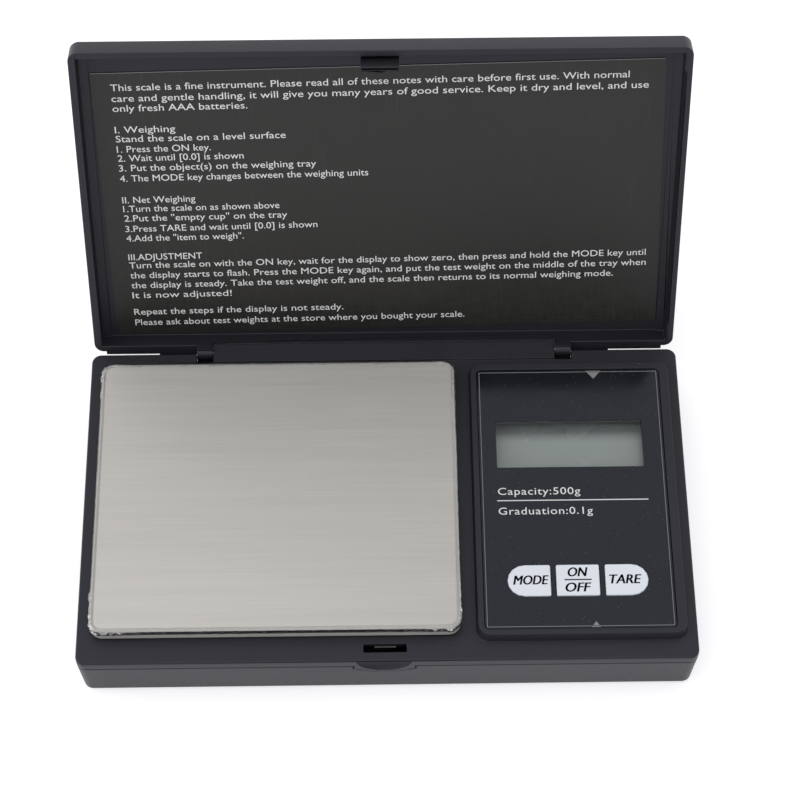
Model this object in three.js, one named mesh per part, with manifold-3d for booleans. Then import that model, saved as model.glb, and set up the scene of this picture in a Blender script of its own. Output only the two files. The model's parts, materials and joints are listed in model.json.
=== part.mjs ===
// Digital gram scale: a pocket scale with a flip lid, a stainless weighing platform and a display with
// three keys. Millimetres, +Z up. X runs along the scale's length, and -Y is the front, where the lid's
// latch is. The design is laid out with its base centred on X = Y = 0 and standing on Z = 0. The last
// lines move it so that the origin is under the middle of the open scale.
import * as THREE from 'three';
import { mergeVertices } from 'three/addons/utils/BufferGeometryUtils.js';
import Module from 'manifold-3d';

const wasm = await Module();
wasm.setup();

// ---------------------------------------------------------------- driving dimensions
const BASE_LENGTH = 127;
const BASE_DEPTH = 74;
const FOOT_STAND = 0.6; // how far the rubber feet hold the housing off the table
const SHELL_HEIGHT = 13; // from the housing's underside to the deck
const DECK_Z = FOOT_STAND + SHELL_HEIGHT;
const LIP_HEIGHT = 2.3; // the top cover's outer lip, down to the parting line
const SEAM = 0.1; // gap at a seam between two shells
const TOUCH = 0.02; // gap between pieces that rest on each other
const WALL = 1.6;
const FLOOR = 1.2;
const DECK = 1.1;
const CORNER = 2;
const DRAFT = 0.6; // how far the housing's sides lean in from the parting line to the bottom
const ROUND = 7; // segments in a quarter of a large rounded corner
const SMALL_ROUND = 3; // and of a small one
const ROOT = 0.3; // how deep a rib or boss is sunk into the wall it stands on
const FAR = 200; // past every side of the scale, for tools that cut right through
const WELD = 1e-4; // vertices this close are one
const FLOOR_Z = FOOT_STAND + FLOOR;
const PARTING_Z = DECK_Z - LIP_HEIGHT;
const DECK_UNDERSIDE = DECK_Z - DECK;

const OPEN_ANGLE = THREE.MathUtils.degToRad(111.9);
const HINGE_Y = BASE_DEPTH / 2 + 0.3;
const HINGE_Z = DECK_Z - 0.5;
const SEAT_DEPTH = 2.4; // how far the notch for a lid arm goes into the rear wall
const ARM_X = 38.95;
const ARM_WIDTH = 3.5;
const ARM_RADIUS = 1.5;
const ARM_ROOM = 0.9; // between a lid arm and the bottom of its notch
const NOTCH_WIDTH = 3.7;
const BARREL_RADIUS = 2; // the barrel fills the space between the two arms
const BARREL_HALF_LENGTH = ARM_X - NOTCH_WIDTH / 2;
const BARREL_GAP = 0.15;
const BARREL_TOP = DECK_Z + 0.35; // it is flat on top, a little above the deck
const PIN_RADIUS = 0.5;
const RUNNING_GAP = 0.08;

const LID_LENGTH = 126;
const LID_HEIGHT = 5.6;
const LID_TOP = 1.5;
const LID_SIDE_WALL = 1.6;
const LID_END_WALL = 1.4;
const LID_GAP = 0.15; // between the closed lid's rim and the deck

const TRAY_LENGTH = 75.7;
const TRAY_DEPTH = 63.7;
const TRAY_X = -22.8;
const TRAY_Y = 0.45;
const TRAY_TOP = DECK_Z + 3.5;
const TRAY_SKIRT = 3.1;
const TRAY_SHEET = 0.5;
const TRAY_CORNER = 2.6;

const PANEL_X = 39.5;
const PANEL_Y = -0.25;
const PANEL_LENGTH = 39.1;
const PANEL_DEPTH = 61.5;
const PANEL_SHEET = 0.8;
const PANEL_RECESS = 0.3;
const BEZEL_RISE = 2.2;
const BEZEL_TOP = DECK_Z + BEZEL_RISE;
const PANEL_TOP = BEZEL_TOP - PANEL_RECESS;
const PANEL_BED = PANEL_TOP - PANEL_SHEET;

const LCD_VIEW = { x: 39.1, y: 12.25, length: 31, depth: 11.3 };
const KEY_Y = -20.15;
const KEY_DEPTH = 7.1;
const KEY_PROUD = 0.35;
const KEY_TRAVEL = 0.4;
const KEYS = [
  { name: 'mode', x: 29.3, length: 8.9, roundSide: -1 },
  { name: 'power', x: 39.35, length: 8.9, roundSide: 0 },
  { name: 'tare', x: 49.45, length: 8.9, roundSide: 1 },
];

const BOARD_BOTTOM = 6.2;
const BOARD_TOP = 7.8;

const CELL_RADIUS = 5.2; // AAA cell
const CELL_LENGTH = 43.3;
const CELL_NUB = 1.1;
const CONTACT_SHEET = 0.4;
const CONTACT_GAP = 0.1; // between a contact plate and the bay's wall
const CELL_X = [-54.2, -43.4];
const CELL_Z = FLOOR_Z + 0.2 + CELL_RADIUS;
const BAY_INSIDE = 24.2; // half the battery bay's length
const BAY_END_X = -37.2;

const LOAD_X = TRAY_X;
const LOAD_Y = TRAY_Y;
const LOAD_LENGTH = 47;
const LOAD_WIDTH = 12;
const LOAD_HEIGHT = 6;
const LOAD_PAD_Z = FLOOR_Z + 1.4;
const LOAD_TOP = LOAD_PAD_Z + TOUCH + LOAD_HEIGHT;

const SCREW_POSITIONS = [[57.4, 31.2], [-57.4, 31.2], [-57.4, -31.2], [57.4, -31.2]];
const FOOT_POSITIONS = [[50, 30.6], [-50, 30.6], [-50, -30.6], [50, -30.6]];
const FOOT_RADIUS = 3.5;
const BOSS_RADIUS = 2.6;
const HEAD_ROOM = 0.2; // round a screw's head in its pocket
const SHANK_ROOM = 0.15; // round a screw's shank in its hole

// ---------------------------------------------------------------- materials
function plastic(color, roughness) {
  return new THREE.MeshStandardMaterial({ color, roughness, metalness: 0 });
}

function metal(color, roughness) {
  return new THREE.MeshStandardMaterial({ color, roughness, metalness: 1 });
}

const BLACK_CASE = plastic(0x2a2a2e, 0.55);
const PANEL_BLACK = plastic(0x121214, 0.15);
const LABEL_BLACK = plastic(0x34332f, 0.5);
const KEY_WHITE = plastic(0xdcdfe6, 0.4);
const LCD_GREY = plastic(0x8c9894, 0.2);
const CLEAR = new THREE.MeshStandardMaterial({
  color: 0xdfe6e4,
  roughness: 0.05,
  transparent: true,
  opacity: 0.3,
});
const BOARD_GREEN = plastic(0x1d5a34, 0.5);
const CHIP_BLACK = plastic(0x101012, 0.35);
const MILKY = plastic(0xe8e8e2, 0.5);
const RUBBER = plastic(0x1a1a1a, 0.9);
const STAINLESS = metal(0xbab7b0, 0.3);
const STEEL = metal(0x9a9a9a, 0.35);
const ALUMINIUM = metal(0xc4c6c8, 0.4);
const NICKEL = metal(0xb8b4aa, 0.3);
const CELL_JACKET = plastic(0x2f6b4a, 0.35);
const RED_WIRE = plastic(0xb02020, 0.5);
const BLACK_WIRE = plastic(0x161616, 0.5);

// ---------------------------------------------------------------- shapes and solids
function roundedRect(length, depth, radius, x = 0, y = 0) {
  const right = x + length / 2 - radius;
  const left = x - length / 2 + radius;
  const back = y + depth / 2 - radius;
  const front = y - depth / 2 + radius;
  const shape = new THREE.Shape();
  shape.absarc(right, back, radius, 0, Math.PI / 2);
  shape.absarc(left, back, radius, Math.PI / 2, Math.PI);
  shape.absarc(left, front, radius, Math.PI, 1.5 * Math.PI);
  shape.absarc(right, front, radius, 1.5 * Math.PI, 2 * Math.PI);
  return shape;
}

function slab(shape, low, high, curveSegments = SMALL_ROUND) {
  const settings = { depth: high - low, bevelEnabled: false, curveSegments };
  return new THREE.ExtrudeGeometry(shape, settings).translate(0, 0, low);
}

// A slab whose top edge is rounded over and whose bottom edge is square.
function crownedSlab(shape, low, high, edge, curveSegments = ROUND) {
  const settings = {
    depth: high - low - edge,
    bevelThickness: edge,
    bevelSize: edge,
    bevelOffset: -edge,
    bevelSegments: 2,
    curveSegments,
  };
  const geometry = new THREE.ExtrudeGeometry(shape, settings).translate(0, 0, low);
  return cut(geometry, block(-FAR, FAR, -FAR, FAR, low - 2 * edge, low));
}

// Leans the sides of an upright slab in at its end at height z: the sides that face along X by insetX,
// and the others by insetY.
function lean(geometry, z, insetX, insetY, x = 0, y = 0) {
  const position = geometry.getAttribute('position');
  for (let i = 0; i < position.count; i += 1) {
    if (Math.abs(position.getZ(i) - z) < WELD) {
      const dx = position.getX(i) - x;
      const dy = position.getY(i) - y;
      position.setX(i, position.getX(i) - Math.sign(dx) * Math.min(insetX, Math.abs(dx)));
      position.setY(i, position.getY(i) - Math.sign(dy) * Math.min(insetY, Math.abs(dy)));
    }
  }
  return geometry;
}

function block(x0, x1, y0, y1, z0, z1) {
  const geometry = new THREE.BoxGeometry(x1 - x0, y1 - y0, z1 - z0);
  return geometry.translate((x0 + x1) / 2, (y0 + y1) / 2, (z0 + z1) / 2);
}

function rodZ(radius, x, y, low, high, sides = 16) {
  const geometry = new THREE.CylinderGeometry(radius, radius, high - low, sides).rotateX(Math.PI / 2);
  return geometry.translate(x, y, (low + high) / 2);
}

function rodX(radius, x0, x1, y, z, sides = 20) {
  const geometry = new THREE.CylinderGeometry(radius, radius, x1 - x0, sides).rotateZ(Math.PI / 2);
  return geometry.translate((x0 + x1) / 2, y, z);
}

function rodY(radius, y0, y1, x, z, sides = 24) {
  return new THREE.CylinderGeometry(radius, radius, y1 - y0, sides).translate(x, (y0 + y1) / 2, z);
}

// A round wire of the given radius, swept along a curve.
function wire(curve, radius, steps, sides = 8) {
  const section = new THREE.Shape().absarc(0, 0, radius, 0, 2 * Math.PI);
  const settings = { steps, extrudePath: curve, bevelEnabled: false, curveSegments: sides };
  return new THREE.ExtrudeGeometry(section, settings);
}

function solid(shape) {
  if (!shape.isBufferGeometry) {
    return shape;
  }
  const bare = shape.clone();
  bare.deleteAttribute('normal');
  bare.deleteAttribute('uv');
  const merged = mergeVertices(bare, WELD);
  const vertProperties = new Float32Array(merged.getAttribute('position').array);
  const triVerts = new Uint32Array(merged.getIndex().array);
  return new wasm.Manifold(new wasm.Mesh({ numProp: 3, vertProperties, triVerts }));
}

function join(...shapes) {
  return shapes.map(solid).reduce((whole, shape) => whole.add(shape));
}

function cut(body, ...tools) {
  return tools.map(solid).reduce((whole, tool) => whole.subtract(tool), solid(body));
}

function common(body, other) {
  return solid(body).intersect(solid(other));
}

function geometryOf(shape) {
  if (shape.isBufferGeometry) {
    return shape;
  }
  const cutMesh = shape.getMesh();
  const geometry = new THREE.BufferGeometry();
  geometry.setAttribute('position', new THREE.BufferAttribute(new Float32Array(cutMesh.vertProperties), 3));
  geometry.setIndex(new THREE.BufferAttribute(new Uint32Array(cutMesh.triVerts), 1));
  geometry.computeVertexNormals();
  return geometry;
}

function piece(name, shape, material) {
  const mesh = new THREE.Mesh(geometryOf(shape), material);
  mesh.name = name;
  return mesh;
}

// A cross-head screw pointing up, with its head's underside at z. The cross is given as shares of the
// head's radius, and it goes halfway into the head.
const CROSS_REACH = 0.62;
const CROSS_HALF_WIDTH = 0.16;

function screw(x, y, z, { headRadius, headHeight, shankRadius, shankLength }) {
  const halfway = z - headHeight / 2;
  const body = join(
    rodZ(headRadius, x, y, z - headHeight, z, 12),
    rodZ(shankRadius, x, y, halfway, z + shankLength, 8),
  );
  const arm = headRadius * CROSS_REACH;
  const slot = headRadius * CROSS_HALF_WIDTH;
  const low = z - 2 * headHeight;
  return cut(
    body,
    block(x - arm, x + arm, y - slot, y + slot, low, halfway),
    block(x - slot, x + slot, y - arm, y + arm, low, halfway),
  );
}

// A hole for an upright screw: a pocket for its head up to the seat, and a bore for its shank above.
function screwHole(x, y, seat, { headRadius, shankRadius }) {
  return join(
    rodZ(headRadius + HEAD_ROOM, x, y, 0, seat),
    rodZ(shankRadius + SHANK_ROOM, x, y, 0, DECK_Z, 12),
  );
}

// ---------------------------------------------------------------- bottom housing
const HOUSING_SCREW = { headRadius: 1.9, headHeight: 1.1, shankRadius: 0.9, shankLength: 6.6 };
const HOUSING_SCREW_SEAT = FLOOR_Z + 0.6;
const PILLAR_TOP = FLOOR_Z + 2.2;
const LOAD_SCREW = { headRadius: 2.3, headHeight: 1, shankRadius: 1.3, shankLength: 6 };
const LOAD_SCREW_SEAT = FLOOR_Z;
const LOAD_SCREW_Y = [LOAD_Y - LOAD_LENGTH / 2 + 3.5, LOAD_Y - LOAD_LENGTH / 2 + 9.5];
const STOP_SCREW_Y = LOAD_Y + LOAD_LENGTH / 2 - 4;
const STOP_SCREW_RADIUS = 1.3;
const STOP_GAP = 0.35; // the load cell's free travel down to the overload stop
const STOP_BOSS = { radius: 3, height: 0.8 };
const LOAD_PAD_LENGTH = 13;
const DOOR_TONGUE = 0.8; // how far the door's side rails reach into their grooves
const DOOR_GAP = 0.15;
const DOOR_END_X = BAY_END_X - ROOT;
const RAIL_LOW = FOOT_STAND + 0.55;
const RAIL_HIGH = FOOT_STAND + 1.05;
const RAIL_GAP = 0.1;
const FOOT_POCKET = 0.5;
const TAB_GAP = 0.2; // round the cover's front tab in its gap of the housing

function bottomHousing() {
  const outline = roundedRect(BASE_LENGTH, BASE_DEPTH, CORNER);
  const shell = lean(slab(outline, FOOT_STAND, PARTING_Z - SEAM, ROUND), FOOT_STAND, DRAFT, DRAFT);
  const inside = roundedRect(BASE_LENGTH - 2 * WALL, BASE_DEPTH - 2 * WALL, CORNER - WALL);
  const hollow = lean(slab(inside, FLOOR_Z, DECK_Z), FLOOR_Z, DRAFT, DRAFT);
  const left = -BASE_LENGTH / 2;
  const low = FLOOR_Z - ROOT;
  const bayWall = BAY_INSIDE + WALL;
  const bay = [
    block(left + WALL, BAY_END_X + FLOOR, BAY_INSIDE, bayWall, low, PARTING_Z),
    block(left + WALL, BAY_END_X + FLOOR, -bayWall, -BAY_INSIDE, low, PARTING_Z),
    block(BAY_END_X, BAY_END_X + FLOOR, -bayWall, bayWall, low, PARTING_Z),
  ];
  const pillars = SCREW_POSITIONS.map(([x, y]) => rodZ(BOSS_RADIUS, x, y, low, PILLAR_TOP, 12));
  const halfPad = LOAD_WIDTH / 2;
  const padFront = LOAD_Y - LOAD_LENGTH / 2;
  const padRear = padFront + LOAD_PAD_LENGTH;
  const pad = block(LOAD_X - halfPad, LOAD_X + halfPad, padFront, padRear, low, LOAD_PAD_Z);
  const stopBoss = rodZ(STOP_BOSS.radius, LOAD_X, STOP_SCREW_Y, low, FLOOR_Z + STOP_BOSS.height, 20);

  const tools = [];
  for (const [x, y] of SCREW_POSITIONS) {
    tools.push(screwHole(x, y, HOUSING_SCREW_SEAT, HOUSING_SCREW));
  }
  for (const y of LOAD_SCREW_Y) {
    tools.push(screwHole(LOAD_X, y, LOAD_SCREW_SEAT, LOAD_SCREW));
  }
  tools.push(rodZ(STOP_SCREW_RADIUS + SHANK_ROOM, LOAD_X, STOP_SCREW_Y, 0, DECK_Z, 12));
  for (const [x, y] of FOOT_POSITIONS) {
    tools.push(rodZ(FOOT_RADIUS + 0.1, x, y, 0, FOOT_STAND + FOOT_POCKET));
  }
  // The door's way: an opening through the floor, out of the left side, with a groove for its rails.
  tools.push(block(left - 1, DOOR_END_X, -BAY_INSIDE, BAY_INSIDE, 0, FLOOR_Z));
  const groove = BAY_INSIDE + DOOR_TONGUE;
  tools.push(block(left - 1, DOOR_END_X, -groove, groove, RAIL_LOW - RAIL_GAP, RAIL_HIGH + RAIL_GAP));
  // Notches in the rear wall, where the lid's two arms turn.
  const rear = BASE_DEPTH / 2;
  const notchLow = HINGE_Z - ARM_RADIUS - ARM_ROOM;
  for (const side of [-1, 1]) {
    const x0 = side * ARM_X - NOTCH_WIDTH / 2;
    const x1 = side * ARM_X + NOTCH_WIDTH / 2;
    tools.push(block(x0, x1, rear - SEAT_DEPTH, rear + 1, notchLow, DECK_Z));
  }
  tools.push(frontTab(TAB_GAP));
  return cut(join(cut(shell, hollow), ...bay, ...pillars, pad, stopBoss), ...tools);
}

// ---------------------------------------------------------------- top cover
const BEZEL_LENGTH = 43.5;
const BEZEL_DEPTH = 66.4;
const BEZEL_X = 39.85;
const BEZEL_SIDE_SLOPE = 0.45;
const BEZEL_END_SLOPE = 0.9;
const BEZEL_CORNER = 2.6;
const DECK_EDGE = 0.4;
const PANEL_GAP = 0.15;
const PANEL_LEDGE = 1.5; // the ledge that the panel is glued to
const PANEL_BACKING = 1.2;
const POST_RADIUS = 1.8;
const LCD_MARGIN = 0.6;
const KEY_GUIDE_GAP = 0.25;
const STEM_GAP = 3;
const SLOT = { x0: -4.9, x1: 3.9, y0: -35, y1: -33.15 };
const STEM = { x: LOAD_X, y: LOAD_Y + LOAD_LENGTH / 2 - 6.5, length: 11, depth: 12 };
const SCOOP = { x: -0.7, halfWidth: 5.6, depth: 1.7, top: DECK_Z - 0.3, height: 3.9 };
const TAB = { x: -0.6, halfWidth: 6.2, thickness: 2.8, sideLow: DECK_Z - 3.5, middleLow: DECK_Z - 5.1 };
const BOARD_SCREW_POSITIONS = [[22.5, -27.5], [54.5, -27.5], [22.5, 26.5], [54.5, 26.5]];
const BOARD_SCREW = { headRadius: 1.5, headHeight: 0.9, shankRadius: 0.65, shankLength: 5 };

function keyOutline(key, grow) {
  const length = key.length + 2 * grow;
  const depth = KEY_DEPTH + 2 * grow;
  const corner = 0.4 + grow;
  if (key.roundSide === 0) {
    return roundedRect(length, depth, corner, key.x, KEY_Y);
  }
  // One end is a half circle, the other is square with small corners.
  const radius = depth / 2;
  const roundX = key.x + key.roundSide * (length / 2 - radius);
  const flatX = key.x - key.roundSide * (length / 2 - corner);
  const front = KEY_Y - depth / 2 + corner;
  const back = KEY_Y + depth / 2 - corner;
  const shape = new THREE.Shape();
  if (key.roundSide > 0) {
    shape.absarc(roundX, KEY_Y, radius, -Math.PI / 2, Math.PI / 2);
    shape.absarc(flatX, back, corner, Math.PI / 2, Math.PI);
    shape.absarc(flatX, front, corner, Math.PI, 1.5 * Math.PI);
  } else {
    shape.absarc(flatX, back, corner, 0, Math.PI / 2);
    shape.absarc(roundX, KEY_Y, radius, Math.PI / 2, 1.5 * Math.PI);
    shape.absarc(flatX, front, corner, 1.5 * Math.PI, 2 * Math.PI);
  }
  return shape;
}

// The tab in the middle of the cover's front, which hangs below the parting line in a gap of the housing.
function frontTab(grow) {
  const side = TAB.halfWidth + grow;
  const shape = new THREE.Shape();
  shape.moveTo(side, PARTING_Z + 0.5);
  shape.lineTo(-side, PARTING_Z + 0.5);
  shape.lineTo(-side, TAB.sideLow - grow);
  shape.quadraticCurveTo(0, 2 * TAB.middleLow - TAB.sideLow - grow, side, TAB.sideLow - grow);
  shape.closePath();
  const thickness = TAB.thickness + 2 * grow;
  const upright = slab(shape, 0, thickness, ROUND).rotateX(Math.PI / 2);
  return upright.translate(TAB.x, thickness - grow - BASE_DEPTH / 2, 0);
}

// A hollow for the thumb in the tab: half an ellipsoid, flat on top, just below the deck's edge.
function thumbScoop() {
  const { x, halfWidth, depth, top, height } = SCOOP;
  const front = -BASE_DEPTH / 2;
  const ball = new THREE.SphereGeometry(1, 40, 24).scale(halfWidth, depth, height);
  return common(ball.translate(x, front, top), block(-FAR, FAR, -FAR, FAR, 0, top));
}

// The raised block round the display, with leaning sides.
function bezelBlock(grow) {
  const outline = roundedRect(
    BEZEL_LENGTH + 2 * grow,
    BEZEL_DEPTH + 2 * grow,
    BEZEL_CORNER + grow,
    BEZEL_X,
  );
  const top = BEZEL_TOP + grow;
  const upright = slab(outline, DECK_UNDERSIDE, top);
  return lean(upright, top, BEZEL_SIDE_SLOPE, BEZEL_END_SLOPE, BEZEL_X, 0);
}

function topCover() {
  const outline = roundedRect(BASE_LENGTH, BASE_DEPTH, CORNER);
  const skirtHollow = roundedRect(BASE_LENGTH - 2 * WALL, BASE_DEPTH - 2 * WALL, CORNER - WALL);
  const shell = cut(
    crownedSlab(outline, PARTING_Z, DECK_Z, DECK_EDGE),
    slab(skirtHollow, 0, DECK_UNDERSIDE),
  );
  const rear = BASE_DEPTH / 2;
  // The hinge barrel is flat on top, and flat underneath at the parting line.
  const half = BARREL_HALF_LENGTH;
  const barrel = cut(
    rodX(BARREL_RADIUS, -half, half, HINGE_Y, HINGE_Z, 32),
    block(-FAR, FAR, 0, FAR, BARREL_TOP, FAR),
    block(-FAR, FAR, 0, FAR, 0, PARTING_Z),
  );
  const barrelRoot = block(-half, half, rear - SEAT_DEPTH, HINGE_Y, PARTING_Z, BARREL_TOP);
  const bosses = SCREW_POSITIONS.map(([x, y]) => {
    return rodZ(BOSS_RADIUS, x, y, PILLAR_TOP + SEAM, DECK_UNDERSIDE + ROOT, 12);
  });
  const posts = BOARD_SCREW_POSITIONS.map(([x, y]) => {
    return rodZ(POST_RADIUS, x, y, BOARD_TOP + TOUCH, PANEL_BED - ROOT, 10);
  });
  const panelHole = slab(
    roundedRect(PANEL_LENGTH + 2 * PANEL_GAP, PANEL_DEPTH + 2 * PANEL_GAP, 1, PANEL_X, PANEL_Y),
    PANEL_BED,
    DECK_Z + FAR,
  );
  const underBezel = slab(
    roundedRect(PANEL_LENGTH - 2 * PANEL_LEDGE, PANEL_DEPTH - 2 * PANEL_LEDGE, 1, PANEL_X, PANEL_Y),
    0,
    PANEL_BED - PANEL_BACKING,
  );
  const lcdHole = block(
    LCD_VIEW.x - LCD_VIEW.length / 2 - LCD_MARGIN,
    LCD_VIEW.x + LCD_VIEW.length / 2 + LCD_MARGIN,
    LCD_VIEW.y - LCD_VIEW.depth / 2 - LCD_MARGIN,
    LCD_VIEW.y + LCD_VIEW.depth / 2 + LCD_MARGIN,
    0,
    BEZEL_TOP,
  );
  const keyHoles = KEYS.map((key) => slab(keyOutline(key, KEY_GUIDE_GAP), 0, BEZEL_TOP));
  const stemHole = slab(
    roundedRect(STEM.length + 2 * STEM_GAP, STEM.depth + 2 * STEM_GAP, 2, STEM.x, STEM.y),
    0,
    DECK_Z + FAR,
  );
  const latchSlot = block(SLOT.x0, SLOT.x1, SLOT.y0, SLOT.y1, 0, DECK_Z + FAR);
  const tools = [latchSlot, thumbScoop(), stemHole, lcdHole, ...keyHoles];
  for (const [x, y] of SCREW_POSITIONS) {
    tools.push(rodZ(HOUSING_SCREW.shankRadius + SEAM, x, y, 0, PILLAR_TOP + 6, 8));
  }
  for (const [x, y] of BOARD_SCREW_POSITIONS) {
    tools.push(rodZ(BOARD_SCREW.shankRadius + SHANK_ROOM, x, y, 0, BOARD_TOP + 4, 8));
  }
  for (const side of [-1, 1]) {
    const x = side * ARM_X;
    const [x0, x1] = [side * (ARM_X - 4.6), side * ARM_X].sort((a, b) => a - b);
    tools.push(
      block(x - NOTCH_WIDTH / 2, x + NOTCH_WIDTH / 2, rear - SEAT_DEPTH, rear + 3, 0, DECK_Z + FAR),
      rodX(PIN_RADIUS + RUNNING_GAP, x0, x1, HINGE_Y, HINGE_Z, 16),
    );
  }
  const deck = cut(shell, panelHole, underBezel);
  const bezel = cut(bezelBlock(0), panelHole, underBezel);
  return cut(join(deck, bezel, barrel, barrelRoot, frontTab(0), ...bosses, ...posts), ...tools);
}

// ---------------------------------------------------------------- display and board
const LCD_GLASS = { x: 39.1, y: 12.25, length: 35, depth: 16.4, low: 10.5, high: 12.4 };
const LCD_BED = 9.1;

function displayPanel() {
  const plate = slab(
    roundedRect(PANEL_LENGTH, PANEL_DEPTH, 0.9, PANEL_X, PANEL_Y),
    PANEL_BED + TOUCH,
    PANEL_TOP,
  );
  const windowHole = slab(
    roundedRect(LCD_VIEW.length, LCD_VIEW.depth, 0.3, LCD_VIEW.x, LCD_VIEW.y),
    0,
    BEZEL_TOP,
  );
  const keyHoles = KEYS.map((key) => slab(keyOutline(key, 0.15), 0, BEZEL_TOP));
  return cut(plate, windowHole, ...keyHoles);
}

function lcdWindow() {
  const gap = 0.1;
  const outline = roundedRect(LCD_VIEW.length - gap, LCD_VIEW.depth - gap, 0.3, LCD_VIEW.x, LCD_VIEW.y);
  return slab(outline, PANEL_BED + TOUCH, PANEL_TOP - 0.1);
}

function lcdFrame() {
  const { x, y, length, depth, high } = LCD_GLASS;
  const outer = slab(roundedRect(length + 2.4, depth + 2.4, 0.6, x, y), BOARD_TOP + TOUCH, high);
  const seat = block(
    x - length / 2 - 0.1,
    x + length / 2 + 0.1,
    y - depth / 2 - 0.1,
    y + depth / 2 + 0.1,
    BOARD_TOP - 1,
    high + 1,
  );
  return cut(outer, seat);
}

function lcdGlass() {
  const { x, y, length, depth, low, high } = LCD_GLASS;
  const lower = block(x - length / 2, x + length / 2, y - depth / 2, y + depth / 2, low, low + 1);
  const upper = block(x - length / 2, x + length / 2, y - depth / 2 + 1.6, y + depth / 2, low + 0.9, high);
  return join(lower, upper);
}

function zebraStrip(side) {
  const { x, y, length, depth, low } = LCD_GLASS;
  const half = length / 2 - 1;
  const middle = y + side * (depth / 2 - 1.1);
  return block(x - half, x + half, middle - 1, middle + 1, BOARD_TOP + TOUCH, low - TOUCH);
}

function backlightDiffuser() {
  const { x, y, length, depth, low } = LCD_GLASS;
  return slab(roundedRect(length - 2, depth - 5, 0.5, x, y), LCD_BED, low - 0.1);
}

function circuitBoard() {
  const outline = roundedRect(PANEL_LENGTH - 1.1, PANEL_DEPTH - 1.5, 1, PANEL_X, PANEL_Y);
  const holes = BOARD_SCREW_POSITIONS.map(([x, y]) => rodZ(0.95, x, y, 0, DECK_Z, 10));
  const bossNotches = SCREW_POSITIONS.map(([x, y]) => rodZ(BOSS_RADIUS + 0.4, x, y, 0, DECK_Z, 12));
  return cut(slab(outline, BOARD_BOTTOM, BOARD_TOP), ...holes, ...bossNotches);
}

function controllerChip() {
  const dome = new THREE.SphereGeometry(6, 14, 8).scale(1, 1, 0.4).translate(34, 2, BOARD_BOTTOM);
  return common(dome, block(0, 60, -30, 30, 0, BOARD_BOTTOM - TOUCH));
}

function crystal() {
  return slab(roundedRect(8, 3.4, 1.6, 48, -6, 4), BOARD_BOTTOM - 2.6, BOARD_BOTTOM - TOUCH, 4);
}

function capacitor() {
  return rodX(2, 44, 52, 4, BOARD_BOTTOM - 2.1, 12);
}

// ---------------------------------------------------------------- keys and switches
const SWITCH_BODY = 3.2;
const FLANGE_TOP = PANEL_BED - 1.2 - 0.1;
const FLANGE_BOTTOM = FLANGE_TOP - 0.8;
const PLUNGER_RADIUS = 1.7;

function keyCap(key) {
  const cap = crownedSlab(keyOutline(key, 0), FLANGE_TOP - 0.1, PANEL_TOP + KEY_PROUD, 0.25, 4);
  const flange = block(
    key.x - key.length / 2 + 0.2,
    key.x + key.length / 2 - 0.2,
    KEY_Y - KEY_DEPTH / 2 - 1,
    KEY_Y + KEY_DEPTH / 2 + 1,
    FLANGE_BOTTOM,
    FLANGE_TOP,
  );
  return join(cap, flange);
}

function switchBody(key) {
  const low = BOARD_TOP + TOUCH;
  const high = BOARD_TOP + SWITCH_BODY;
  const body = block(key.x - 3, key.x + 3, KEY_Y - 3, KEY_Y + 3, low, high);
  const well = rodZ(PLUNGER_RADIUS + RUNNING_GAP, key.x, KEY_Y, BOARD_TOP + 1, high + 1, 16);
  return cut(body, well);
}

function switchPlunger(key) {
  const low = BOARD_TOP + 1 + KEY_TRAVEL + 0.2;
  return rodZ(PLUNGER_RADIUS, key.x, KEY_Y, low, FLANGE_BOTTOM - TOUCH, 16);
}

// ---------------------------------------------------------------- load cell and platform
const CARRIER_BOTTOM = DECK_Z + 0.9;
const CARRIER_TOP = TRAY_TOP - TRAY_SHEET - 0.1;
const CARRIER_SCREW = { headRadius: 2.2, headHeight: 1, shankRadius: 1.3, shankLength: 10.2 };
const CARRIER_SCREW_Y = [STEM.y - 3, STEM.y + 3];

function loadCell() {
  const halfLength = LOAD_LENGTH / 2;
  const halfWidth = LOAD_WIDTH / 2;
  const middle = LOAD_PAD_Z + TOUCH + LOAD_HEIGHT / 2;
  const bar = block(
    LOAD_X - halfWidth,
    LOAD_X + halfWidth,
    LOAD_Y - halfLength,
    LOAD_Y + halfLength,
    LOAD_PAD_Z + TOUCH,
    LOAD_TOP,
  );
  const tools = [-5, 5].map((offset) => {
    return rodX(2.3, LOAD_X - 10, LOAD_X + 10, LOAD_Y + offset, middle, 20);
  });
  tools.push(block(LOAD_X - 10, LOAD_X + 10, LOAD_Y - 5, LOAD_Y + 5, middle - 1.2, middle + 1.2));
  for (const y of [...LOAD_SCREW_Y, ...CARRIER_SCREW_Y]) {
    tools.push(rodZ(1.4, LOAD_X, y, 0, DECK_Z, 12));
  }
  return cut(bar, ...tools);
}

function gaugeCoating() {
  return crownedSlab(roundedRect(9, 12, 1.5, LOAD_X, LOAD_Y), LOAD_TOP + TOUCH, LOAD_TOP + 1.1, 0.4, 2);
}

// A screw pointing down from the carrier into the load cell, as the upright screw turned over.
function carrierScrew(y) {
  const upright = geometryOf(screw(0, 0, 0, CARRIER_SCREW)).clone();
  return solid(upright.rotateX(Math.PI).translate(STEM.x, y, CARRIER_TOP - 1.05));
}

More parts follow.
